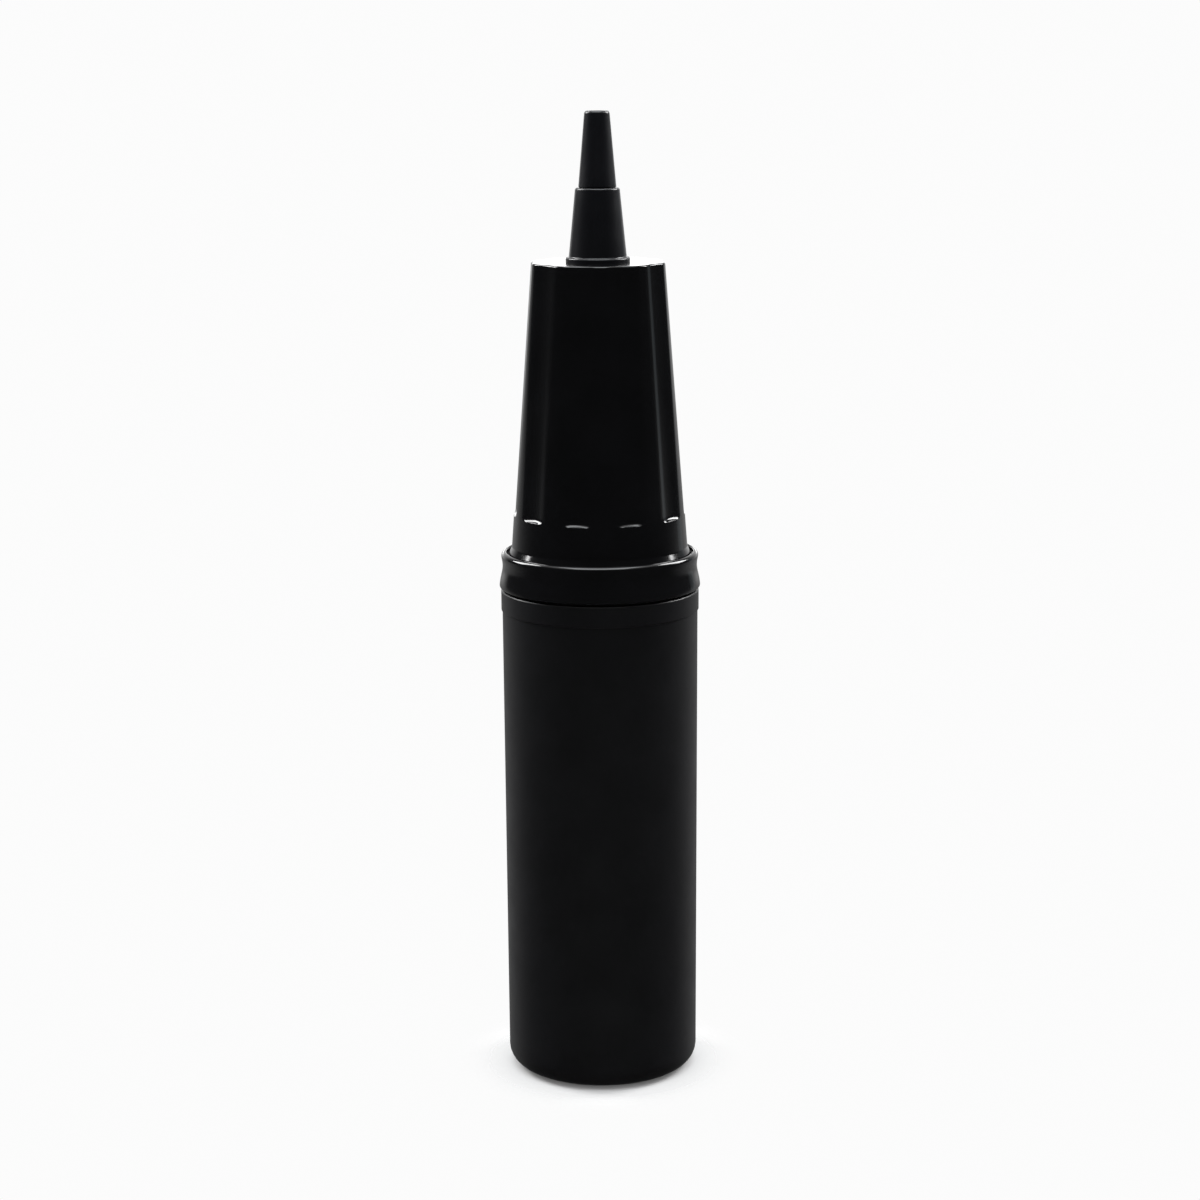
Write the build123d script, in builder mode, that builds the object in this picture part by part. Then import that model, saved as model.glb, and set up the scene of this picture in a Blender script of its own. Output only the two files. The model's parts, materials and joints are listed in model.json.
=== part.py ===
"""Double-action hand inflation pump: a barrel, a plunger whose head is the grip, and a stepped push-in tip.

Millimetres, +Z up. The origin is the centre of the face that the barrel stands on, and the plunger is fully
in. Pulling and pushing both blow air. Below the piston, air comes in past the base valve disc. Above it, air
comes in past the collar ring. The piston ring floats in its groove and opens the groove to whichever side is
being squeezed, and the air leaves through the piston's ports, the hollow rod and the nozzle.
"""

import os

from build123d import *

# Barrel
BARREL_HEIGHT = 87.3
BARREL_BORE = 29.0
WALL_AT_FOOT = 2.4
WALL_AT_MOUTH = 2.7
BARREL_CORNER = 3.3
FLOOR_THICKNESS = 2.5
FOOT_RING_WIDTH = 1.6
FOOT_RECESS_DEPTH = 1.5
LIP_HEIGHT = 3.8
LIP_STEP = 0.2

# Base inlet valve, on the barrel's floor
VALVE_WALL_BORE = 20.0
VALVE_WALL_THICKNESS = 1.4
VALVE_WALL_HEIGHT = 3.2
INLET_HOLE = 2.5
INLET_COUNT = 6
PEG_DIAMETER = 3.0
DISC_THICKNESS = 0.8
CAGE_THICKNESS = 1.2
CAGE_RIM = 0.7
SPOKE_WIDTH = 2.2
SPOKE_COUNT = 4

# Collar: the cap on the barrel's mouth that guides and seals the rod
GASKET_THICKNESS = 0.4
GASKET_INSET = 0.7
COLLAR_FLANGE_HEIGHT = 5.1
COLLAR_OVERHANG = 0.25
COLLAR_EDGE_HEIGHT = 0.3
COLLAR_WAIST_DEPTH = 0.55
RIM_HEIGHT = 1.2
RIM_WIDTH = 1.0
RIM_INSET = 0.35
SPIGOT_WALL = 1.9
SPIGOT_DEPTH = 5.3
RETAINER_THICKNESS = 1.5
BUSH_THICKNESS = 3.5

# Rod, piston and the two floating rings
ROD_DIAMETER = 14.0
ROD_BORE = 9.0
PISTON_HEIGHT = 10.5
LAND_HEIGHT = 3.2
GROOVE_DEPTH = 3.0
NOTCH_COUNT = 6
NOTCH_WIDTH = 3.0
NOTCH_DEPTH = 1.2
PORT_DIAMETER = 2.4
PORT_COUNT = 4
HUB_HEIGHT = 12.0
HUB_WALL = 1.8
SNAP_DEPTH = 0.35
SNAP_HEIGHT = 1.6
RING_HEIGHT = 2.6
RING_FLOAT = 1.4
BUMPER_THICKNESS = 2.0
BUMPER_WIDTH = 3.0

# Head: the fluted grip on the rod's top end
HEAD_HEIGHT = 51.6
HEAD_WALL = 2.0
HEAD_HOLLOW_AT_TOP = 1.0
HEAD_TOP_THICKNESS = 3.0
HEAD_FLARE = 0.5
HEAD_FLARE_HEIGHT = 2.0
HEAD_BAND_HEIGHT = 7.6
FLUTE_COUNT = 10
FLUTE_RADIUS = 11.0
FLUTE_DEPTH = 0.6
FLUTE_END_ROUNDING = 0.7
FLUTE_TURN = 3.0
BOSS_WALL = 1.8
BOSS_HEIGHT = 20.0
HEAD_BASE_THICKNESS = 3.5
HEAD_BASE_INSET = 1.0

# Nozzle: a cone pressed into the rod, and a thinner tip pushed into the cone
NOZZLE_FLANGE_DIAMETER = 11.2
NOZZLE_FLANGE_HEIGHT = 0.8
CONE_HEIGHT = 11.8
CONE_FOOT_DIAMETER = 10.0
CONE_TOP_DIAMETER = 7.65
NOZZLE_SPIGOT_LENGTH = 13.0
NOZZLE_BORE = 3.0
SEAL_SECTION = 1.6
SEAL_HEIGHT_IN_SPIGOT = 4.0
TIP_HEIGHT = 13.0
TIP_FOOT_DIAMETER = 6.55
TIP_TOP_DIAMETER = 4.3
TIP_BORE = 2.2
TIP_SPIGOT_DIAMETER = 4.4
TIP_SPIGOT_LENGTH = 9.0

# Clearances, each between two pieces that move on each other
RUNNING = 0.08
RING_RUNNING = 0.06
LOOSE = 0.4
SEAT_GAP = 0.05
END_GAP = 0.2

# Radii and heights that follow from the sizes above
bore = BARREL_BORE / 2
foot_radius = bore + WALL_AT_FOOT
mouth_radius = bore + WALL_AT_MOUTH
lip_radius = mouth_radius + LIP_STEP
floor_top = FOOT_RECESS_DEPTH + FLOOR_THICKNESS
valve_wall = VALVE_WALL_BORE / 2
valve_wall_top = floor_top + VALVE_WALL_HEIGHT
disc_radius = valve_wall - 2 * CAGE_RIM
disc_top = floor_top + DISC_THICKNESS
cage_bottom = valve_wall_top - CAGE_THICKNESS

rod = ROD_DIAMETER / 2
rod_bore = ROD_BORE / 2
gasket_top = BARREL_HEIGHT + GASKET_THICKNESS
dish_floor = gasket_top + COLLAR_FLANGE_HEIGHT
collar_radius = lip_radius + COLLAR_OVERHANG
rim_radius = collar_radius - RIM_INSET
dish_radius = rim_radius - RIM_WIDTH
spigot_inner = bore - SPIGOT_WALL
spigot_bottom = gasket_top - GASKET_THICKNESS - SPIGOT_DEPTH
retainer_top = spigot_bottom + RETAINER_THICKNESS
bush_bottom = retainer_top + RING_HEIGHT + RING_FLOAT
bush_top = bush_bottom + BUSH_THICKNESS
gland_room = spigot_inner - rod
collar_ring_width = 0.46 * gland_room
collar_ring_radius = rod + RING_RUNNING + collar_ring_width

piston_bottom = valve_wall_top + LOOSE
piston_top = piston_bottom + PISTON_HEIGHT
land_radius = bore - RUNNING
groove_bottom = piston_bottom + LAND_HEIGHT
groove_top = groove_bottom + RING_HEIGHT + RING_FLOAT
groove_radius = land_radius - GROOVE_DEPTH
hub_radius = rod_bore - RUNNING
hub_top = piston_top + HUB_HEIGHT
port_height = (groove_bottom + groove_top) / 2
air_bore = hub_radius - HUB_WALL
rod_bottom = piston_top + SEAT_GAP
bumper_top = rod_bottom + BUMPER_THICKNESS
stroke = spigot_bottom - bumper_top - END_GAP

head_bottom = dish_floor + SEAT_GAP
head_top = head_bottom + HEAD_HEIGHT
head_foot_radius = dish_radius - LOOSE
head_band_radius = head_foot_radius - HEAD_FLARE
head_top_radius = rod + BOSS_WALL + HEAD_HOLLOW_AT_TOP + HEAD_WALL
flare_top = head_bottom + HEAD_FLARE_HEIGHT
head_ceiling = head_top - HEAD_TOP_THICKNESS
head_base_bottom = head_bottom + HEAD_BASE_INSET
head_base_top = head_base_bottom + HEAD_BASE_THICKNESS
head_base_radius = head_band_radius - HEAD_WALL

flange_top = head_top + NOZZLE_FLANGE_HEIGHT
cone_top = flange_top + CONE_HEIGHT
nozzle_bore = NOZZLE_BORE / 2
tip_socket = TIP_SPIGOT_DIAMETER / 2
tip_top = cone_top + TIP_HEIGHT
nozzle_spigot_bottom = head_top - NOZZLE_SPIGOT_LENGTH
seal_height = nozzle_spigot_bottom + SEAL_HEIGHT_IN_SPIGOT
seal_radius = SEAL_SECTION / 2


def turn(*corners, mode=Mode.ADD):
    """Turn an outline of corners about Z. A corner is (radius, height) or (radius, height, rounding)."""
    with BuildSketch(Plane.XZ) as outline:
        with BuildLine():
            Polyline(*[corner[:2] for corner in corners], close=True)
        make_face()
        for radius, height, *rounding in corners:
            if rounding:
                fillet(outline.vertices().sort_by_distance((radius, height))[0], rounding[0])
    revolve(outline.sketch, axis=Axis.Z, mode=mode)


def save(piece, name):
    """Label a finished piece and write it as parts/name.step."""
    piece.part.label = name
    export_step(piece.part, f"parts/{name}.step")


os.makedirs("parts", exist_ok=True)


# Barrel: a drafted cup with a straight bore, a lip round its mouth and the base valve's seat on its floor
with BuildPart() as barrel:
    foot_ring_inner = foot_radius - BARREL_CORNER - FOOT_RING_WIDTH
    turn(
        (0, FOOT_RECESS_DEPTH),
        (foot_ring_inner, FOOT_RECESS_DEPTH, 0.6),
        (foot_ring_inner, 0, 0.3),
        (foot_radius, 0, BARREL_CORNER),
        (mouth_radius, BARREL_HEIGHT - LIP_HEIGHT),
        (lip_radius, BARREL_HEIGHT - LIP_HEIGHT + LIP_STEP, 0.1),
        (lip_radius, BARREL_HEIGHT, 0.35),
        (bore, BARREL_HEIGHT),
        (bore, floor_top, 0.8),
        (valve_wall + VALVE_WALL_THICKNESS, floor_top),
        (valve_wall + VALVE_WALL_THICKNESS, valve_wall_top),
        (valve_wall, valve_wall_top),
        (valve_wall, floor_top),
        (0, floor_top),
    )
    with BuildSketch(Plane.XY.offset(floor_top)):
        Circle(PEG_DIAMETER / 2)
    extrude(amount=VALVE_WALL_HEIGHT)
    inlet_circle = (PEG_DIAMETER / 2 + disc_radius) / 2
    with BuildSketch(Plane.XY.offset(floor_top)):
        with PolarLocations(inlet_circle, INLET_COUNT):
            Circle(INLET_HOLE / 2)
    extrude(amount=-FLOOR_THICKNESS, mode=Mode.SUBTRACT)
save(barrel, "barrel")

# Base valve disc: rubber, free to lift off the inlet holes as far as the cage
with BuildPart() as base_valve_disc:
    turn(
        (PEG_DIAMETER / 2 + LOOSE, floor_top),
        (disc_radius, floor_top),
        (disc_radius, disc_top, 0.2),
        (PEG_DIAMETER / 2 + LOOSE, disc_top),
    )
save(base_valve_disc, "base_valve_disc")

# Base valve cage: a spoked ring, pushed onto the peg and into the valve wall
with BuildPart() as base_valve_cage:
    with BuildSketch(Plane.XY.offset(cage_bottom)):
        Circle(valve_wall)
        Circle(valve_wall - CAGE_RIM, mode=Mode.SUBTRACT)
        Circle(PEG_DIAMETER)
        with PolarLocations(valve_wall / 2, SPOKE_COUNT):
            Rectangle(valve_wall - CAGE_RIM, SPOKE_WIDTH)
        Circle(PEG_DIAMETER / 2, mode=Mode.SUBTRACT)
    extrude(amount=CAGE_THICKNESS)
save(base_valve_cage, "base_valve_cage")

# Barrel gasket: between the barrel's mouth and the collar's flange
with BuildPart() as barrel_gasket:
    turn(
        (bore, BARREL_HEIGHT),
        (lip_radius - GASKET_INSET, BARREL_HEIGHT),
        (lip_radius - GASKET_INSET, gasket_top),
        (bore, gasket_top),
    )
save(barrel_gasket, "barrel_gasket")

# Collar cap: a waisted flange with a rounded rim, and a spigot in the barrel's bore
with BuildPart() as collar_cap:
    flange_edge = gasket_top + COLLAR_EDGE_HEIGHT
    waist_height = gasket_top + 0.72 * COLLAR_FLANGE_HEIGHT
    rim_side = dish_floor + 0.4
    with BuildSketch(Plane.XZ) as collar_outline:
        with BuildLine():
            spigot_outside = Polyline(
                (spigot_inner, spigot_bottom),
                (bore, spigot_bottom),
                (bore, gasket_top),
                (collar_radius - COLLAR_EDGE_HEIGHT, gasket_top),
                (collar_radius, flange_edge),
            )
            waist = Spline(
                (collar_radius, flange_edge),
                (collar_radius - COLLAR_WAIST_DEPTH, waist_height),
                (rim_radius, rim_side),
                tangents=[(-0.15, 1), (0.25, 1)],
            )
            rim = ThreePointArc(
                (rim_radius, rim_side),
                (rim_radius - RIM_WIDTH / 2, dish_floor + RIM_HEIGHT),
                (dish_radius, rim_side),
            )
            inside = Polyline(
                (dish_radius, rim_side),
                (dish_radius, dish_floor),
                (rod + LOOSE, dish_floor),
                (rod + LOOSE, bush_top),
                (spigot_inner, bush_top),
                (spigot_inner, spigot_bottom),
            )
        make_face()
    revolve(axis=Axis.Z)
save(collar_cap, "collar_cap")

# Collar guide bush: the rod runs in it, and air comes in down the notches in its bore
with BuildPart() as collar_guide_bush:
    with BuildSketch(Plane.XY.offset(bush_bottom)):
        Circle(spigot_inner)
        Circle(rod + RUNNING, mode=Mode.SUBTRACT)
        with PolarLocations(rod + RUNNING, NOTCH_COUNT):
            Rectangle(collar_ring_width, NOTCH_WIDTH, mode=Mode.SUBTRACT)
    extrude(amount=BUSH_THICKNESS)
save(collar_guide_bush, "collar_guide_bush")

# Collar ring: rubber, gripped by the rod, it floats between the retainer and the bush
with BuildPart() as collar_ring:
    turn(
        (rod + RING_RUNNING, retainer_top, 0.5),
        (collar_ring_radius, retainer_top, 0.5),
        (collar_ring_radius, retainer_top + RING_HEIGHT, 0.5),
        (rod + RING_RUNNING, retainer_top + RING_HEIGHT, 0.5),
    )
save(collar_ring, "collar_ring")

# Collar ring retainer: a washer that holds the ring up, with slots past the ring's edge for the air
with BuildPart() as collar_ring_retainer:
    slot_inner = collar_ring_radius + 0.1 * gland_room
    slot_outer = spigot_inner - 0.1 * gland_room
    with BuildSketch(Plane.XY.offset(spigot_bottom)):
        Circle(spigot_inner)
        Circle(rod + LOOSE, mode=Mode.SUBTRACT)
        with PolarLocations((slot_inner + slot_outer) / 2, NOTCH_COUNT):
            Rectangle(slot_outer - slot_inner, NOTCH_WIDTH, mode=Mode.SUBTRACT)
    extrude(amount=RETAINER_THICKNESS)
save(collar_ring_retainer, "collar_ring_retainer")

# Piston body: a spool with notched lands, and a hub that the rod snaps onto and can turn on
with BuildPart() as piston_body:
    snap_bottom = piston_top + HUB_HEIGHT / 2
    turn(
        (0, piston_bottom),
        (land_radius, piston_bottom, 0.5),
        (land_radius, groove_bottom),
        (groove_radius, groove_bottom),
        (groove_radius, groove_top),
        (land_radius, groove_top),
        (land_radius, piston_top, 0.5),
        (hub_radius, piston_top),
        (hub_radius, snap_bottom),
        (hub_radius - SNAP_DEPTH, snap_bottom),
        (hub_radius - SNAP_DEPTH, snap_bottom + SNAP_HEIGHT + END_GAP),
        (hub_radius, snap_bottom + SNAP_HEIGHT + END_GAP),
        (hub_radius, hub_top),
        (air_bore, hub_top),
        (air_bore, groove_bottom),
        (0, groove_bottom),
    )
    for land_bottom, land_height in (
        (piston_bottom, LAND_HEIGHT),
        (groove_top, piston_top - groove_top),
    ):
        with BuildSketch(Plane.XY.offset(land_bottom)):
            with PolarLocations(land_radius, NOTCH_COUNT):
                Rectangle(2 * NOTCH_DEPTH, NOTCH_WIDTH)
        extrude(amount=land_height, mode=Mode.SUBTRACT)
    for turn_of_port in range(PORT_COUNT):
        outward = Plane.XZ.rotated((0, 0, 360 * turn_of_port / PORT_COUNT))
        with BuildSketch(outward.offset(0)):
            with Locations((0, port_height)):
                Circle(PORT_DIAMETER / 2)
        extrude(amount=land_radius, mode=Mode.SUBTRACT)
save(piston_body, "piston_body")

# Piston ring: rubber, rubbing on the bore, it floats in the piston's groove
with BuildPart() as piston_ring:
    ring_inner = groove_radius + LOOSE
    turn(
        (ring_inner, groove_bottom, 0.5),
        (bore - RING_RUNNING, groove_bottom, 0.5),
        (bore - RING_RUNNING, groove_bottom + RING_HEIGHT, 0.5),
        (ring_inner, groove_bottom + RING_HEIGHT, 0.5),
    )
save(piston_ring, "piston_ring")

# Rod tube: hollow, from the piston's hub to the head's ceiling, with a snap rib round the hub's groove
with BuildPart() as rod_tube:
    rib_bottom = snap_bottom + END_GAP / 2
    rib_radius = hub_radius - SNAP_DEPTH + RUNNING
    turn(
        (rod_bore, rod_bottom),
        (rod, rod_bottom, 0.4),
        (rod, head_ceiling),
        (rod_bore, head_ceiling),
        (rod_bore, rib_bottom + SNAP_HEIGHT),
        (rib_radius, rib_bottom + SNAP_HEIGHT),
        (rib_radius, rib_bottom),
        (rod_bore, rib_bottom),
    )
save(rod_tube, "rod_tube")

# Rod bumper: a rubber washer on the rod that meets the collar at full stroke
with BuildPart() as rod_bumper:
    turn(
        (rod, rod_bottom + 0.4),
        (rod + BUMPER_WIDTH, rod_bottom + 0.4, 0.5),
        (rod + BUMPER_WIDTH, bumper_top, 0.5),
        (rod, bumper_top),
    )
save(rod_bumper, "rod_bumper")

# Head shell: the tapered grip, with flutes that end in a ledge above its plain band
with BuildPart() as head_shell:
    slope = (head_band_radius - head_top_radius) / (head_top - flare_top)
    ceiling_radius = head_top_radius + slope * HEAD_TOP_THICKNESS - HEAD_WALL
    turn(
        (head_base_radius, head_bottom),
        (head_foot_radius, head_bottom, 0.5),
        (head_foot_radius, head_bottom + HEAD_FLARE_HEIGHT / 2, 0.4),
        (head_band_radius, flare_top, 0.6),
        (head_top_radius, head_top, 0.6),
        (rod_bore, head_top),
        (rod_bore, head_ceiling),
        (rod, head_ceiling),
        (rod, head_ceiling - BOSS_HEIGHT),
        (rod + BOSS_WALL, head_ceiling - BOSS_HEIGHT),
        (rod + BOSS_WALL, head_ceiling),
        (ceiling_radius, head_ceiling, HEAD_HOLLOW_AT_TOP / 2),
        (head_base_radius - 0.6, head_base_top + 0.6),
        (head_base_radius - 0.6, head_base_top),
        (head_base_radius, head_base_top),
    )
    flute_bottom = head_bottom + HEAD_BAND_HEIGHT
    flute_surface = head_band_radius - slope * (flute_bottom - flare_top)
    flute_axis_radius = flute_surface - FLUTE_DEPTH + FLUTE_RADIUS
    lean = Vector(-slope, 0, 1)
    flute_length = head_top - flute_bottom + 2
    with BuildPart(mode=Mode.PRIVATE) as flute_cutter:
        with BuildSketch(Plane(origin=(flute_axis_radius, 0, flute_bottom), z_dir=lean)):
            Circle(FLUTE_RADIUS)
        extrude(amount=flute_length)
        fillet(flute_cutter.edges().filter_by(GeomType.CIRCLE).sort_by(Axis.Z)[0], FLUTE_END_ROUNDING)
    for flute in range(FLUTE_COUNT):
        angle = FLUTE_TURN + 360 * flute / FLUTE_COUNT
        add(flute_cutter.part.rotate(Axis.Z, angle), mode=Mode.SUBTRACT)
save(head_shell, "head_shell")

# Head base: closes the head's underside round the rod
with BuildPart() as head_base:
    turn(
        (rod, head_base_bottom),
        (head_base_radius, head_base_bottom, 0.3),
        (head_base_radius, head_base_top),
        (rod, head_base_top),
    )
save(head_base, "head_base")

# Nozzle cone: pressed into the rod's top end through the head, with a socket for the tip
with BuildPart() as nozzle_cone:
    turn(
        (rod_bore, head_top),
        (NOZZLE_FLANGE_DIAMETER / 2, head_top),
        (NOZZLE_FLANGE_DIAMETER / 2, flange_top, 0.3),
        (CONE_FOOT_DIAMETER / 2, flange_top, 0.2),
        (CONE_TOP_DIAMETER / 2, cone_top, 0.35),
        (tip_socket, cone_top),
        (tip_socket, cone_top - TIP_SPIGOT_LENGTH),
        (nozzle_bore, cone_top - TIP_SPIGOT_LENGTH),
        (nozzle_bore, nozzle_spigot_bottom),
        (rod_bore, nozzle_spigot_bottom, 0.4),
        (rod_bore, seal_height - seal_radius),
        (rod_bore - SEAL_SECTION, seal_height - seal_radius),
        (rod_bore - SEAL_SECTION, seal_height + seal_radius),
        (rod_bore, seal_height + seal_radius),
    )
save(nozzle_cone, "nozzle_cone")

# Nozzle seal: an O-ring in the nozzle spigot's groove
with BuildPart() as nozzle_seal:
    with BuildSketch(Plane.XZ):
        with Locations((rod_bore - seal_radius, seal_height)):
            Circle(seal_radius)
    revolve(axis=Axis.Z)
save(nozzle_seal, "nozzle_seal")

# Nozzle tip: the thin taper for small valves, pushed into the cone and pulled off by hand
with BuildPart() as nozzle_tip:
    turn(
        (TIP_BORE / 2, cone_top - TIP_SPIGOT_LENGTH + SEAT_GAP),
        (tip_socket - RUNNING, cone_top - TIP_SPIGOT_LENGTH + SEAT_GAP, 0.3),
        (tip_socket - RUNNING, cone_top + SEAT_GAP),
        (TIP_FOOT_DIAMETER / 2, cone_top + SEAT_GAP, 0.2),
        (TIP_TOP_DIAMETER / 2, tip_top, 0.5),
        (TIP_BORE / 2, tip_top, 0.2),
    )
save(nozzle_tip, "nozzle_tip")

print(f"stroke {stroke:.2f}, height {tip_top:.2f}, width {2 * collar_radius:.2f}")
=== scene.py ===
"""Looks of the ball inflation pump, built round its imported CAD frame.

The pump's sizes are millimetres, and its axis is Z. Heights and radii are read from the frame's nodes where a
node's box gives them, and the rest are the pump's own small sizes, named below. The stage, with its camera,
lights and floors, is in metres.
"""

import json
import math

import bmesh
import bpy
import numpy as np
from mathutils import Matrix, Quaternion, Vector


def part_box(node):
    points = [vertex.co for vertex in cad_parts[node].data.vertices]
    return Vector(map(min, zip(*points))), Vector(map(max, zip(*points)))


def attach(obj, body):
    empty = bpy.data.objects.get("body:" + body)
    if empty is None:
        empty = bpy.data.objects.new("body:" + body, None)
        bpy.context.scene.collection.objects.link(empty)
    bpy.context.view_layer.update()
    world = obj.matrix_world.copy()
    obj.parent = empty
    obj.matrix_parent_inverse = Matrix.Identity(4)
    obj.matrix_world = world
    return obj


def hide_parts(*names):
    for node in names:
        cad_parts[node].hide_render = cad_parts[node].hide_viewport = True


MM = 0.001  # metres in a millimetre

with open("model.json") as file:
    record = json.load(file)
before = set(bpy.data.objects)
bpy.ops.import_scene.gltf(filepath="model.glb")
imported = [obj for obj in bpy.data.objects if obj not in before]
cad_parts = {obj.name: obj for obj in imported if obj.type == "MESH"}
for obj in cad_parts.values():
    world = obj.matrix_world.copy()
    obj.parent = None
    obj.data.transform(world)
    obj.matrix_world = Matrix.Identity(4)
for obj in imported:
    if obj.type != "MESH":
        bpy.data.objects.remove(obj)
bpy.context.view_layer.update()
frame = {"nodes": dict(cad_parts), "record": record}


def radius_of(node):
    """A round node's outer radius."""
    low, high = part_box(node)
    return max(high.x - low.x, high.y - low.y) / 2 / MM


def bottom_of(node):
    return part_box(node)[0].z / MM


def top_of(node):
    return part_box(node)[1].z / MM


# ---------------------------------------------------------------- sizes

SPIGOT_WALL = 1.9
BORE = radius_of("collar_guide_bush") + SPIGOT_WALL
ROD = radius_of("rod_tube")
ROD_BORE = radius_of("nozzle_seal")
PUMP_HEIGHT = top_of("nozzle_tip")

BARREL_FOOT_RADIUS = BORE + 2.4
BARREL_MOUTH_RADIUS = BORE + 2.7
BARREL_LIP_RADIUS = radius_of("barrel")
BARREL_TOP = top_of("barrel")
BARREL_CORNER = 3.3
LIP_HEIGHT = 3.8
LIP_STEP = 0.2
LIP_BOTTOM = BARREL_TOP - LIP_HEIGHT
FOOT_RING_WIDTH = 1.6
RECESS_RADIUS = BARREL_FOOT_RADIUS - BARREL_CORNER - FOOT_RING_WIDTH
RECESS_DEPTH = 1.5
GATE_RADIUS = 1.4  # the moulding gate's shallow pit in the middle of the recess
GATE_DEPTH = 0.25
GATE_SLOPE_WIDTH = 0.3
FLOOR_TOP = bottom_of("base_valve_disc")
VALVE_WALL = radius_of("base_valve_cage")
VALVE_WALL_OUTER = VALVE_WALL + 1.4
VALVE_WALL_TOP = top_of("base_valve_cage")
PEG_RADIUS = 1.5
INLET_COUNT = 6
INLET_RADIUS = 1.25
INLET_CIRCLE = (PEG_RADIUS + radius_of("base_valve_disc")) / 2

GASKET_TOP = top_of("barrel_gasket")
COLLAR_RADIUS = radius_of("collar_cap")
COLLAR_TOP = top_of("collar_cap")
COLLAR_EDGE = 0.3  # the rounding of the collar's lower edge
DISH_FLOOR = COLLAR_TOP - 1.2
RIM_LOW = DISH_FLOOR + 0.4
RIM_RADIUS = COLLAR_RADIUS - 0.35
RIM_WIDTH = 1.0
RIM_OUTER_SHARE = 0.75  # how much of the rim's width lies outside its crest
WAIST_DEPTH = 0.33
SPIGOT_BOTTOM = bottom_of("collar_cap")
SPIGOT_BORE = radius_of("collar_guide_bush")
BUSH_TOP = top_of("collar_guide_bush")
ROD_HOLE = ROD + 0.4

HEAD_BOTTOM = bottom_of("head_shell")
HEAD_TOP = top_of("head_shell")
HEAD_FOOT_RADIUS = radius_of("head_shell")
HEAD_BAND_RADIUS = HEAD_FOOT_RADIUS - 0.5
HEAD_TOP_RADIUS = ROD + 4.8
FLARE_MIDDLE = HEAD_BOTTOM + 1.0
FLARE_TOP = HEAD_BOTTOM + 2.0
HEAD_SLOPE = (HEAD_BAND_RADIUS - HEAD_TOP_RADIUS) / (HEAD_TOP - FLARE_TOP)
FLUTE_BOTTOM = HEAD_BOTTOM + 7.6
FLUTE_COUNT = 10
FLUTE_RADIUS = 11.0
FLUTE_DEPTH = 0.6
FLUTE_END_ROUNDING = 0.75
FLUTE_TURN = math.radians(3.0)
FLUTE_EDGE_SOFTNESS = 0.35
HEAD_EDGE_ROUNDING = 0.35
HEAD_CEILING = HEAD_TOP - 3.0
HEAD_WALL = 2.0
BOSS_RADIUS = ROD + 1.8
BOSS_BOTTOM = HEAD_CEILING - 20.0
HEAD_BASE_RADIUS = radius_of("head_base")
HEAD_BASE_TOP = top_of("head_base")
HEAD_BASE_STOP = 0.6  # the ledge inside the head that its base comes up against

FLANGE_RADIUS = radius_of("nozzle_cone")
FLANGE_TOP = HEAD_TOP + 0.8
CONE_FOOT_RADIUS = 5.0
CONE_TOP_RADIUS = 3.825
CONE_TOP = top_of("nozzle_cone")
TIP_FOOT_RADIUS = 3.275
TIP_TOP_RADIUS = 2.15
TIP_BORE = 1.1
TIP_SPIGOT = 2.12
TIP_SOCKET = TIP_SPIGOT + 0.08
TIP_SOCKET_BOTTOM = CONE_TOP - 9.0
TIP_SPIGOT_BOTTOM = bottom_of("nozzle_tip")
TIP_BOTTOM = CONE_TOP + 0.05
NOZZLE_BORE = 1.5
NOZZLE_SPIGOT_BOTTOM = bottom_of("nozzle_cone")

ROUND_STEPS = 7  # faces across a rounded corner
SUPPORT = 0.05  # how far beyond a rounding the next loop lies, so that the shading stays on the corner


# ---------------------------------------------------------------- mesh helpers


def rounded_outline(corners):
    """Points along a closed outline of (radius, height) or (radius, height, rounding) corners."""
    points = []
    count = len(corners)
    for index, corner in enumerate(corners):
        here = np.array(corner[:2], float)
        rounding = corner[2] if len(corner) > 2 else 0
        if not rounding:
            points.append(here)
            continue
        before = np.array(corners[index - 1][:2], float) - here
        after = np.array(corners[(index + 1) % count][:2], float) - here
        before_length = np.linalg.norm(before)
        after_length = np.linalg.norm(after)
        before /= before_length
        after /= after_length
        half_angle = math.acos(float(np.clip(before @ after, -1, 1))) / 2
        reach = rounding / math.tan(half_angle)
        middle = before + after
        centre = here + middle / np.linalg.norm(middle) * rounding / math.sin(half_angle)
        first = here + before * reach - centre
        last = here + after * reach - centre
        sweep = math.acos(float(np.clip(first @ last / rounding**2, -1, 1)))
        if before_length > reach + 3 * SUPPORT:
            points.append(centre + first + before * SUPPORT)
        for step in range(ROUND_STEPS + 1):
            share = step / ROUND_STEPS
            blended = first * math.sin((1 - share) * sweep) + last * math.sin(share * sweep)
            points.append(centre + blended / math.sin(sweep))
        if after_length > reach + 3 * SUPPORT:
            points.append(centre + last + after * SUPPORT)
    return np.array(points)


def mesh_from_rings(name, radii, heights, sharp_degrees=40):
    """A closed skin from rings of points. radii and heights have a row for each ring, a column for each step."""
    rings, steps = radii.shape
    angle = np.arange(steps) * 2 * math.pi / steps
    x = radii * np.cos(angle)
    y = radii * np.sin(angle)
    vertices = np.stack([x, y, heights], axis=-1).reshape(-1, 3) * MM
    faces = []
    for ring in range(rings):
        following = (ring + 1) % rings
        if radii[ring].max() < 1e-9 and radii[following].max() < 1e-9:
            continue
        for step in range(steps):
            ahead = (step + 1) % steps
            faces.append(
                (
                    ring * steps + step,
                    following * steps + step,
                    following * steps + ahead,
                    ring * steps + ahead,
                )
            )
    mesh = bpy.data.meshes.new(name)
    mesh.from_pydata(vertices.tolist(), [], faces)
    tidy_mesh(mesh, sharp_degrees)
    piece = bpy.data.objects.new(name, mesh)
    bpy.context.scene.collection.objects.link(piece)
    return piece


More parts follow.
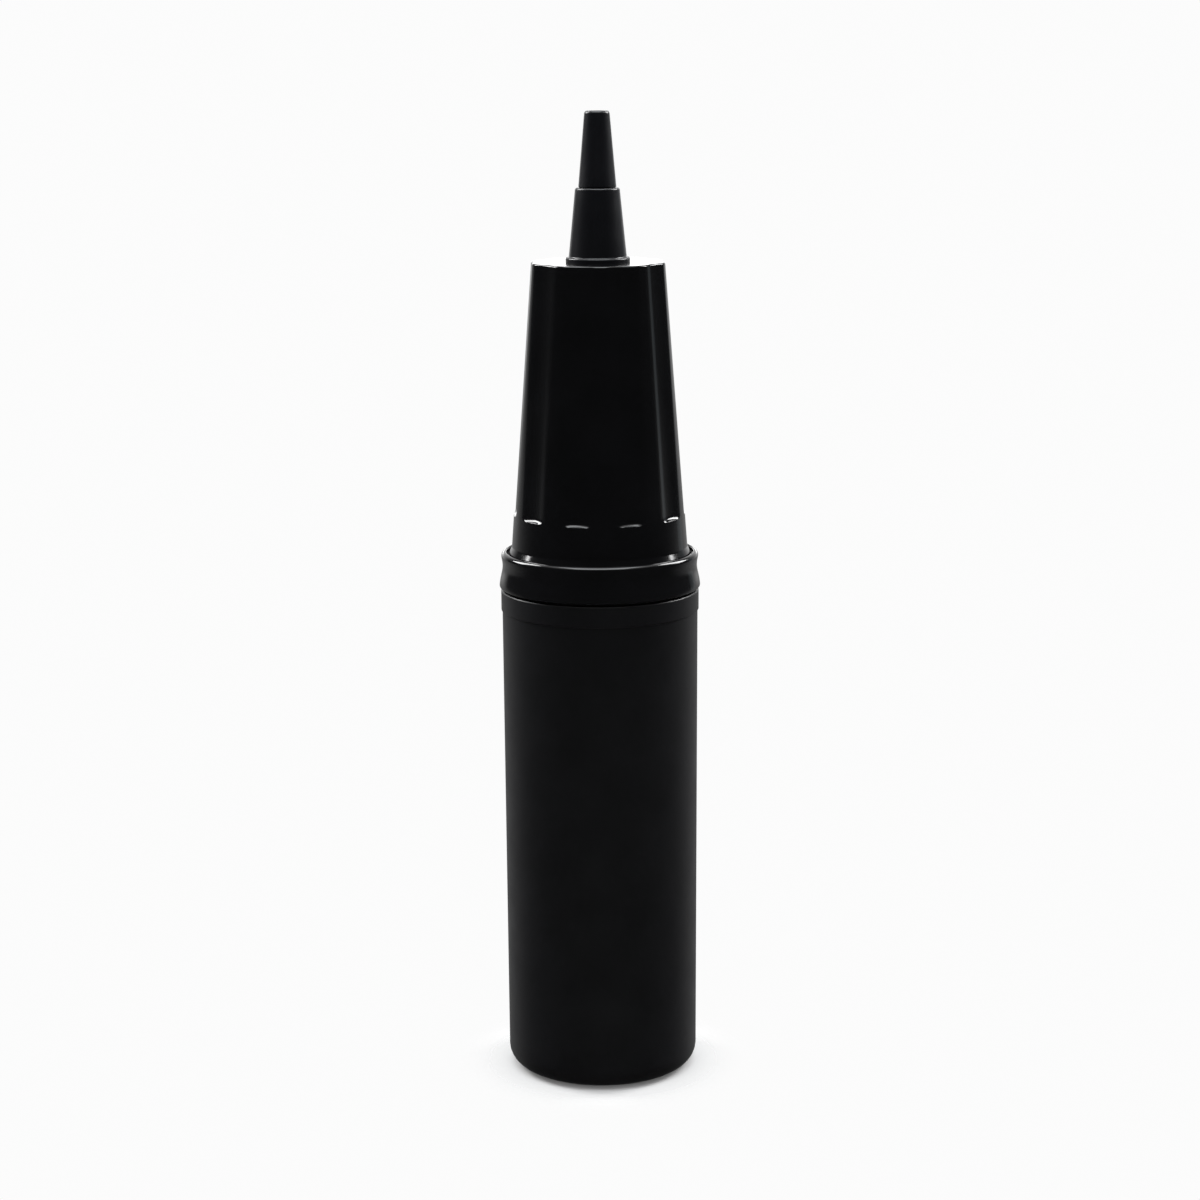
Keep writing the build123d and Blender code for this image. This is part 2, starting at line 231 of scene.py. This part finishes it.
def tidy_mesh(mesh, sharp_degrees):
    """Welds the points on the axis, turns the faces outward and shades smooth except across sharp corners."""
    body = bmesh.new()
    body.from_mesh(mesh)
    bmesh.ops.remove_doubles(body, verts=body.verts, dist=1e-7)
    bmesh.ops.recalc_face_normals(body, faces=body.faces)
    body.to_mesh(mesh)
    body.free()
    mesh.validate()
    mesh.shade_smooth()
    mesh.set_sharp_from_angle(angle=math.radians(sharp_degrees))


def turned(name, corners, steps=256):
    """A piece turned about the pump's axis from a closed outline of corners."""
    outline = rounded_outline(corners)
    radii = np.repeat(outline[:, :1], steps, axis=1)
    heights = np.repeat(outline[:, 1:], steps, axis=1)
    return mesh_from_rings(name, radii, heights)


def stands_for(piece, node, body, material):
    """piece takes the CAD node's place on its body, with a material."""
    piece.data.materials.clear()
    piece.data.materials.append(material)
    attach(piece, body)
    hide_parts(node)


# ---------------------------------------------------------------- materials


class Shader:
    """A material's nodes, added one at a time."""

    def __init__(self, name):
        self.material = bpy.data.materials.new(name)
        self.material.use_nodes = True
        self.tree = self.material.node_tree
        self.surface = self.tree.nodes["Principled BSDF"]
        self.place = self.add("ShaderNodeTexCoord").outputs["Object"]

    def add(self, kind, **values):
        node = self.tree.nodes.new(kind)
        for key, value in values.items():
            setattr(node, key, value)
        return node

    def link(self, source, target):
        self.tree.links.new(source, target)

    def stretched(self, along_x, along_y, along_z):
        mapping = self.add("ShaderNodeMapping")
        mapping.inputs["Scale"].default_value = (along_x, along_y, along_z)
        self.link(self.place, mapping.inputs["Vector"])
        return mapping.outputs["Vector"]

    def noise(self, size_mm, detail=3.0, vector=None, roughness=0.5):
        """Cloudy noise whose features are about size_mm across, from 0 to 1."""
        node = self.add("ShaderNodeTexNoise")
        node.inputs["Scale"].default_value = 1 / (size_mm * MM)
        node.inputs["Detail"].default_value = detail
        node.inputs["Roughness"].default_value = roughness
        self.link(vector or self.place, node.inputs["Vector"])
        return node.outputs["Fac"]

    def spread(self, source, low, high, from_low=0.3, from_high=0.7):
        """source's range from_low..from_high carried to low..high and held there."""
        node = self.add("ShaderNodeMapRange")
        node.inputs["From Min"].default_value = from_low
        node.inputs["From Max"].default_value = from_high
        node.inputs["To Min"].default_value = low
        node.inputs["To Max"].default_value = high
        self.link(source, node.inputs["Value"])
        return node.outputs["Result"]

    def combine(self, operation, first, second):
        node = self.add("ShaderNodeMath", operation=operation)
        for socket, value in zip(node.inputs, (first, second)):
            if isinstance(value, (int, float)):
                socket.default_value = value
            else:
                self.link(value, socket)
        return node.outputs["Value"]

    def mix_colours(self, share, first, second):
        node = self.add("ShaderNodeMix", data_type="RGBA")
        for socket in node.inputs:
            if socket.type == "RGBA":
                socket.default_value = (*(first if socket.name == "A" else second), 1)
        self.link(share, node.inputs["Factor"])
        return next(s for s in node.outputs if s.type == "RGBA")

    def bump(self, height, depth_mm, normal=None):
        node = self.add("ShaderNodeBump")
        node.inputs["Strength"].default_value = 1.0
        node.inputs["Distance"].default_value = depth_mm * MM
        self.link(height, node.inputs["Height"])
        if normal is not None:
            self.link(normal, node.inputs["Normal"])
        return node.outputs["Normal"]


def moulded_plastic(name, dark, light, roughness, grain_mm, grain_depth_mm, specular, scratch=0.12):
    """Moulded plastic: cloudy tone, a grained or polished skin, shallow waves and fine handling scratches."""
    shader = Shader(name)
    surface = shader.surface
    cloud = shader.noise(9.0, detail=4.0)
    shader.link(shader.mix_colours(shader.spread(cloud, 0, 1), dark, light), surface.inputs["Base Color"])

    smudge = shader.noise(5.0, detail=5.0, roughness=0.6)
    scratches = shader.noise(0.12, detail=2.0, vector=shader.stretched(1, 1, 0.05))
    fine = shader.spread(scratches, 0, scratch, 0.62, 0.75)
    patches = shader.spread(shader.noise(7.0, detail=2.0), 0, 1, 0.5, 0.65)
    rubbed = shader.combine("MULTIPLY", fine, patches)
    even = shader.spread(smudge, roughness[0], roughness[1])
    shader.link(shader.combine("ADD", even, rubbed), surface.inputs["Roughness"])

    grain = shader.noise(grain_mm, detail=2.0)
    waved = shader.bump(shader.noise(3.5, detail=1.0), 0.004)
    shader.link(shader.bump(grain, grain_depth_mm, waved), surface.inputs["Normal"])
    surface.inputs["Specular IOR Level"].default_value = specular
    surface.inputs["IOR"].default_value = 1.5
    return shader.material


def rubber(name):
    shader = Shader(name)
    surface = shader.surface
    tone = shader.spread(shader.noise(1.5, detail=4.0), 0, 1)
    colour = shader.mix_colours(tone, (0.010, 0.010, 0.010), (0.020, 0.020, 0.020))
    shader.link(colour, surface.inputs["Base Color"])
    shader.link(shader.spread(shader.noise(0.8), 0.65, 0.85), surface.inputs["Roughness"])
    shader.link(shader.bump(shader.noise(0.15), 0.01), surface.inputs["Normal"])
    return shader.material


GLOSSY = moulded_plastic(
    "glossy_black",
    dark=(0.0022, 0.0023, 0.0028),
    light=(0.0036, 0.0037, 0.0044),
    roughness=(0.08, 0.14),
    grain_mm=0.6,
    grain_depth_mm=0.0006,
    specular=0.5,
    scratch=0.10,
)
SATIN = moulded_plastic(
    "satin_black",
    dark=(0.0044, 0.0044, 0.0056),
    light=(0.0064, 0.0064, 0.0081),
    roughness=(0.36, 0.44),
    grain_mm=0.16,
    grain_depth_mm=0.006,
    specular=0.45,
    scratch=0.10,
)
NOZZLE = moulded_plastic(
    "nozzle_black",
    dark=(0.0050, 0.0053, 0.0075),
    light=(0.0085, 0.0088, 0.0115),
    roughness=(0.28, 0.36),
    grain_mm=0.2,
    grain_depth_mm=0.004,
    specular=0.5,
    scratch=0.08,
)
WHITE = moulded_plastic(
    "natural_white",
    dark=(0.62, 0.60, 0.55),
    light=(0.72, 0.70, 0.66),
    roughness=(0.32, 0.42),
    grain_mm=0.3,
    grain_depth_mm=0.003,
    specular=0.5,
)
RUBBER = rubber("black_rubber")
BY_SLOT = {
    "glossy_black_plastic": GLOSSY,
    "satin_black_plastic": SATIN,
    "nozzle_black_plastic": NOZZLE,
    "white_plastic": WHITE,
    "black_rubber": RUBBER,
}


def dress_cad_nodes():
    """Every CAD node gets its slot's material, whether it shows or a finer piece stands for it."""
    slots = {row["node"]: row["material_slot"] for row in frame["record"]["subparts"]}
    for name, node in frame["nodes"].items():
        node.data.materials.clear()
        node.data.materials.append(BY_SLOT[slots[name]])


# ---------------------------------------------------------------- pieces


def cut_holes(piece, count, circle, hole_radius, low, high):
    """Cuts a circle of round holes along the axis through piece."""
    cutters = []
    for index in range(count):
        angle = 2 * math.pi * index / count
        bpy.ops.mesh.primitive_cylinder_add(
            vertices=48,
            radius=hole_radius * MM,
            depth=(high - low) * MM,
            location=(circle * math.cos(angle) * MM, circle * math.sin(angle) * MM, (low + high) / 2 * MM),
        )
        cutters.append(bpy.context.object)
    for cutter in cutters:
        modifier = piece.modifiers.new("hole", "BOOLEAN")
        modifier.operation = "DIFFERENCE"
        modifier.solver = "EXACT"
        modifier.object = cutter
    evaluated = piece.evaluated_get(bpy.context.evaluated_depsgraph_get())
    cut = bpy.data.meshes.new_from_object(evaluated)
    piece.modifiers.clear()
    piece.data = cut
    for cutter in cutters:
        bpy.data.objects.remove(cutter)
    cut.shade_smooth()
    cut.set_sharp_from_angle(angle=math.radians(40))


def make_barrel():
    piece = turned(
        "barrel_shell",
        [
            (0, RECESS_DEPTH - GATE_DEPTH),
            (GATE_RADIUS, RECESS_DEPTH - GATE_DEPTH, 0.1),
            (GATE_RADIUS + GATE_SLOPE_WIDTH, RECESS_DEPTH, 0.1),
            (RECESS_RADIUS, RECESS_DEPTH, 0.6),
            (RECESS_RADIUS, 0, 0.3),
            (BARREL_FOOT_RADIUS, 0, BARREL_CORNER),
            (BARREL_MOUTH_RADIUS, LIP_BOTTOM, 0.08),
            (BARREL_LIP_RADIUS, LIP_BOTTOM + LIP_STEP, 0.1),
            (BARREL_LIP_RADIUS, BARREL_TOP, 0.35),
            (BORE, BARREL_TOP),
            (BORE, FLOOR_TOP, 0.8),
            (VALVE_WALL_OUTER, FLOOR_TOP, 0.3),
            (VALVE_WALL_OUTER, VALVE_WALL_TOP, 0.15),
            (VALVE_WALL, VALVE_WALL_TOP, 0.15),
            (VALVE_WALL, FLOOR_TOP),
            (PEG_RADIUS, FLOOR_TOP, 0.2),
            (PEG_RADIUS, VALVE_WALL_TOP, 0.2),
            (0, VALVE_WALL_TOP),
        ],
        steps=288,
    )
    cut_holes(piece, INLET_COUNT, INLET_CIRCLE, INLET_RADIUS, -1, FLOOR_TOP + 0.4)
    stands_for(piece, "barrel", "barrel_body", SATIN)


def collar_waist():
    """The collar's outer side from its flared lower edge up to the rim, as a smooth hollow curve."""
    low = GASKET_TOP + COLLAR_EDGE
    share = np.linspace(0, 1, 25)
    straight = COLLAR_RADIUS + (RIM_RADIUS - COLLAR_RADIUS) * share
    hollow = WAIST_DEPTH * np.sin(math.pi * share**1.45) ** 1.3
    return [(radius, low + (RIM_LOW - low) * s) for radius, s in zip(straight - hollow, share)]


def make_collar():
    crest = RIM_RADIUS - RIM_WIDTH * RIM_OUTER_SHARE
    rim = []
    for step in range(1, 17):
        turn = math.pi * step / 16
        reach = RIM_WIDTH * (RIM_OUTER_SHARE if turn < math.pi / 2 else 1 - RIM_OUTER_SHARE)
        rim.append((crest + reach * math.cos(turn), RIM_LOW + (COLLAR_TOP - RIM_LOW) * math.sin(turn)))
    lower_edge = []
    for turn in np.linspace(0, math.pi / 2, 9)[:-1]:
        inset = COLLAR_EDGE * (1 - math.sin(turn))
        lower_edge.append((COLLAR_RADIUS - inset, GASKET_TOP + COLLAR_EDGE * (1 - math.cos(turn))))
    piece = turned(
        "collar_ring_cap",
        [
            (SPIGOT_BORE, SPIGOT_BOTTOM),
            (BORE, SPIGOT_BOTTOM),
            (BORE, GASKET_TOP),
            *lower_edge,
            *collar_waist(),
            *rim,
            (RIM_RADIUS - RIM_WIDTH, DISH_FLOOR, 0.15),
            (ROD_HOLE, DISH_FLOOR, 0.1),
            (ROD_HOLE, BUSH_TOP),
            (SPIGOT_BORE, BUSH_TOP),
        ],
        steps=288,
    )
    stands_for(piece, "collar_cap", "barrel_body", GLOSSY)


def soft_least(first, second, softness):
    """The smaller of two values, rounded where they cross."""
    blend = np.clip(0.5 + 0.5 * (second - first) / softness, 0, 1)
    return second * (1 - blend) + first * blend - softness * blend * (1 - blend)


def fluted_radius(angle, height):
    """The grip's radius: a cone with hollow flutes, whose lower ends are rounded ledges."""
    cone = HEAD_BAND_RADIUS - HEAD_SLOPE * (height - FLARE_TOP)
    pitch = 2 * math.pi / FLUTE_COUNT
    off_centre = (angle - FLUTE_TURN + pitch / 2) % pitch - pitch / 2
    centre = cone - FLUTE_DEPTH + FLUTE_RADIUS
    inside = np.clip(FLUTE_RADIUS**2 - (centre * np.sin(off_centre)) ** 2, 0, None)
    flute = centre * np.cos(off_centre) - np.sqrt(inside)
    above = min(max(height - FLUTE_BOTTOM, 0), FLUTE_END_ROUNDING)
    ledge = FLUTE_END_ROUNDING - math.sqrt(FLUTE_END_ROUNDING**2 - (FLUTE_END_ROUNDING - above) ** 2)
    if height < FLUTE_BOTTOM - 1e-6:
        ledge = FLUTE_DEPTH + 1  # below the ledge there is no flute
    return soft_least(cone, flute + ledge, FLUTE_EDGE_SOFTNESS)


def make_head():
    steps = 720
    angle = np.arange(steps) * 2 * math.pi / steps
    ceiling_radius = HEAD_TOP_RADIUS + HEAD_SLOPE * (HEAD_TOP - HEAD_CEILING) - HEAD_WALL
    foot = rounded_outline(
        [
            (HEAD_BASE_RADIUS, HEAD_BOTTOM),
            (HEAD_FOOT_RADIUS, HEAD_BOTTOM, 0.5),
            (HEAD_FOOT_RADIUS, FLARE_MIDDLE, 0.4),
            (HEAD_BAND_RADIUS, FLARE_TOP, 0.6),
            (HEAD_TOP_RADIUS, HEAD_TOP),
        ]
    )[:-1]
    radii = [np.full(steps, r) for r, _ in foot]
    heights = [np.full(steps, z) for _, z in foot]

    edge_bottom = HEAD_TOP - HEAD_EDGE_ROUNDING
    end_zone = FLUTE_BOTTOM + FLUTE_END_ROUNDING * (1 - np.cos(np.linspace(0, math.pi / 2, 12)))
    grip = np.concatenate(
        [
            [FLUTE_BOTTOM - 1.5, FLUTE_BOTTOM - 0.3, FLUTE_BOTTOM - 0.06],
            end_zone,
            np.arange(FLUTE_BOTTOM + FLUTE_END_ROUNDING + 0.3, edge_bottom - 0.5, 1.6),
            [edge_bottom - 0.05, edge_bottom],
        ]
    )
    for height in grip:
        radii.append(fluted_radius(angle, height))
        heights.append(np.full(steps, height))
    for turn in np.linspace(0, math.pi / 2, ROUND_STEPS + 1)[1:]:
        radii.append(fluted_radius(angle, edge_bottom) - HEAD_EDGE_ROUNDING * (1 - math.cos(turn)))
        heights.append(np.full(steps, edge_bottom + HEAD_EDGE_ROUNDING * math.sin(turn)))
    radii.append(radii[-1] - SUPPORT)
    heights.append(heights[-1])

    inside = rounded_outline(
        [
            (ROD_BORE, HEAD_TOP),
            (ROD_BORE, HEAD_CEILING),
            (ROD, HEAD_CEILING),
            (ROD, BOSS_BOTTOM),
            (BOSS_RADIUS, BOSS_BOTTOM, 0.2),
            (BOSS_RADIUS, HEAD_CEILING),
            (ceiling_radius, HEAD_CEILING, 0.6),
            (HEAD_BASE_RADIUS - HEAD_BASE_STOP, HEAD_BASE_TOP + HEAD_BASE_STOP),
            (HEAD_BASE_RADIUS - HEAD_BASE_STOP, HEAD_BASE_TOP),
            (HEAD_BASE_RADIUS, HEAD_BASE_TOP),
        ]
    )
    radii += [np.full(steps, r) for r, _ in inside]
    heights += [np.full(steps, z) for _, z in inside]
    piece = mesh_from_rings("head_grip", np.array(radii), np.array(heights), sharp_degrees=50)
    stands_for(piece, "head_shell", "plunger", GLOSSY)


def make_nozzle():
    cone = turned(
        "nozzle_thick_taper",
        [
            (ROD_BORE, HEAD_TOP),
            (FLANGE_RADIUS, HEAD_TOP),
            (FLANGE_RADIUS, FLANGE_TOP, 0.3),
            (CONE_FOOT_RADIUS, FLANGE_TOP, 0.2),
            (CONE_TOP_RADIUS, CONE_TOP, 0.35),
            (TIP_SOCKET, CONE_TOP, 0.1),
            (TIP_SOCKET, TIP_SOCKET_BOTTOM),
            (NOZZLE_BORE, TIP_SOCKET_BOTTOM),
            (NOZZLE_BORE, NOZZLE_SPIGOT_BOTTOM),
            (ROD_BORE, NOZZLE_SPIGOT_BOTTOM, 0.4),
        ],
    )
    stands_for(cone, "nozzle_cone", "plunger", NOZZLE)
    tip = turned(
        "nozzle_thin_taper",
        [
            (TIP_BORE, TIP_SPIGOT_BOTTOM),
            (TIP_SPIGOT, TIP_SPIGOT_BOTTOM, 0.3),
            (TIP_SPIGOT, TIP_BOTTOM),
            (TIP_FOOT_RADIUS, TIP_BOTTOM, 0.2),
            (TIP_TOP_RADIUS, PUMP_HEIGHT, 0.5),
            (TIP_BORE, PUMP_HEIGHT, 0.2),
        ],
        steps=192,
    )
    stands_for(tip, "nozzle_tip", "tip", NOZZLE)


# ---------------------------------------------------------------- stage

CAMERA_BACK = 2.78  # pump heights from the pump's axis to the camera, level
CAMERA_UP = 1.06  # pump heights from the floor to the camera
CAMERA_ROLL = math.radians(0.37)
LENS = 82.0
FLOOR_HALF_WIDTH = 3.0
LIGHT_BLUE = (0.80, 0.94, 1.0)
PALE_BLUE = (0.92, 0.97, 1.0)


def make_camera():
    height = PUMP_HEIGHT * MM
    eye = Vector((0, -CAMERA_BACK * height, CAMERA_UP * height))
    aim = Vector((0, 0, height / 2))
    camera = bpy.data.objects.new("camera", bpy.data.cameras.new("camera"))
    camera.data.lens = LENS
    camera.data.clip_start = 0.01
    camera.data.clip_end = 100
    camera.location = eye
    camera.rotation_mode = "QUATERNION"
    look = (aim - eye).to_track_quat("-Z", "Y")
    camera.rotation_quaternion = look @ Quaternion((0, 0, 1), -CAMERA_ROLL)
    bpy.context.scene.collection.objects.link(camera)
    bpy.context.scene.camera = camera


def soft_box(name, azimuth, elevation, distance, width, height, watts, colour=(1, 1, 1)):
    """A soft light that faces the pump. Azimuth 0 is the camera's side, and 90 is the picture's right."""
    a = math.radians(azimuth)
    e = math.radians(elevation)
    aim = Vector((0, 0, PUMP_HEIGHT / 2 * MM))
    away = Vector((math.sin(a) * math.cos(e), -math.cos(a) * math.cos(e), math.sin(e)))
    light = bpy.data.lights.new(name, "AREA")
    light.shape = "RECTANGLE"
    light.size = width
    light.size_y = height
    light.energy = watts
    light.color = colour
    lamp = bpy.data.objects.new(name, light)
    lamp.location = aim + away * distance
    lamp.rotation_mode = "QUATERNION"
    lamp.rotation_quaternion = (-away).to_track_quat("-Z", "Y")
    lamp.visible_camera = False
    bpy.context.scene.collection.objects.link(lamp)


def make_lights():
    soft_box("overhead", 0, 88, 0.9, 0.7, 0.7, 6.0, colour=PALE_BLUE)
    soft_box("left_back", -118, 36, 0.8, 0.30, 0.45, 6.0)
    soft_box("right_back", 118, 36, 0.8, 0.30, 0.45, 6.0)
    soft_box("right_panel", 133, 8, 0.8, 0.20, 0.5, 0.042, colour=LIGHT_BLUE)


def make_world():
    """White to the camera. The pump sees a dark studio with a pale wall behind it and a pale ceiling."""
    world = bpy.data.worlds.new("studio")
    world.use_nodes = True
    nodes = world.node_tree.nodes
    links = world.node_tree.links

    def eased(source, from_low, from_high, low, high):
        """low where source is below from_low, high above from_high, and a smooth step between."""
        node = nodes.new("ShaderNodeMapRange")
        node.interpolation_type = "SMOOTHSTEP"
        ends = {"From Min": from_low, "From Max": from_high, "To Min": low, "To Max": high}
        for name, value in ends.items():
            node.inputs[name].default_value = value
        links.new(source, node.inputs["Value"])
        return node.outputs["Result"]

    def combined(operation, *values):
        node = nodes.new("ShaderNodeMath")
        node.operation = operation
        for socket, value in zip(node.inputs, values):
            if isinstance(value, float):
                socket.default_value = value
            else:
                links.new(value, socket)
        return node.outputs["Value"]

    direction = nodes.new("ShaderNodeSeparateXYZ")
    links.new(nodes.new("ShaderNodeTexCoord").outputs["Generated"], direction.inputs["Vector"])
    back, up = direction.outputs["Y"], direction.outputs["Z"]
    above_floor = eased(up, -0.16, -0.04, 0, 1)
    wall = combined("MULTIPLY", eased(back, 0.65, 0.97, 0, 0.85), above_floor)
    floor_glow = combined("MULTIPLY", eased(back, 0.0, 0.8, 0, 0.25), eased(up, -0.7, -0.35, 0, 1))
    below = combined("MULTIPLY", floor_glow, combined("SUBTRACT", 1.0, above_floor))
    ceiling = eased(up, 0.72, 0.92, 0.045, 1.4)
    skyline = combined("MULTIPLY", eased(back, 0.9, 0.98, 0, 2.6), eased(up, 0.02, 0.05, 0, 1))
    skyline = combined("MULTIPLY", skyline, eased(up, 0.10, 0.15, 1, 0))
    light = wall
    for part in (skyline, below, ceiling):
        light = combined("ADD", light, part)

    surroundings = nodes["Background"]
    links.new(light, surroundings.inputs["Color"])
    backdrop = nodes.new("ShaderNodeBackground")
    backdrop.inputs["Color"].default_value = (0.97, 0.97, 0.97, 1)
    path = nodes.new("ShaderNodeLightPath")
    mix = nodes.new("ShaderNodeMixShader")
    links.new(path.outputs["Is Camera Ray"], mix.inputs["Fac"])
    links.new(surroundings.outputs["Background"], mix.inputs[1])
    links.new(backdrop.outputs["Background"], mix.inputs[2])
    links.new(mix.outputs["Shader"], nodes["World Output"].inputs["Surface"])
    bpy.context.scene.world = world


def make_floor(name, depth, fade_from, fade_to, seen):
    """A pale floor, depth metres down, that fades out with distance. Unseen, it only throws light upward."""
    mesh = bpy.data.meshes.new(name)
    corners = [(-1, -1, 0), (1, -1, 0), (1, 1, 0), (-1, 1, 0)]
    mesh.from_pydata([Vector(corner) * FLOOR_HALF_WIDTH for corner in corners], [], [(0, 1, 2, 3)])
    floor = bpy.data.objects.new(name, mesh)
    floor.location.z = -depth
    floor.visible_camera = seen
    floor.visible_glossy = False
    floor.visible_diffuse = not seen
    bpy.context.scene.collection.objects.link(floor)
    material = bpy.data.materials.new(name)
    material.use_nodes = True
    nodes = material.node_tree.nodes
    links = material.node_tree.links
    surface = nodes["Principled BSDF"]
    surface.inputs["Base Color"].default_value = (0.66, 0.66, 0.66, 1)
    surface.inputs["Roughness"].default_value = 0.9
    surface.inputs["Specular IOR Level"].default_value = 0.1
    clear = nodes.new("ShaderNodeBsdfTransparent")
    place = nodes.new("ShaderNodeTexCoord")
    length = nodes.new("ShaderNodeVectorMath")
    length.operation = "LENGTH"
    links.new(place.outputs["Object"], length.inputs[0])
    fade = nodes.new("ShaderNodeMapRange")
    fade.interpolation_type = "SMOOTHERSTEP"
    fade.inputs["From Min"].default_value = fade_from
    fade.inputs["From Max"].default_value = fade_to
    links.new(length.outputs["Value"], fade.inputs["Value"])
    mix = nodes.new("ShaderNodeMixShader")
    links.new(fade.outputs["Result"], mix.inputs["Fac"])
    links.new(surface.outputs["BSDF"], mix.inputs[1])
    links.new(clear.outputs["BSDF"], mix.inputs[2])
    links.new(mix.outputs["Shader"], nodes["Material Output"].inputs["Surface"])
    mesh.materials.append(material)


dress_cad_nodes()
make_barrel()
make_collar()
make_head()
make_nozzle()
make_camera()
make_lights()
make_world()
make_floor("contact_floor", 0.00005, 0.010, 0.028, seen=True)
make_floor("bounce_floor", 0.0001, 0.10, 0.55, seen=False)
bpy.context.scene.view_settings.view_transform = "Standard"
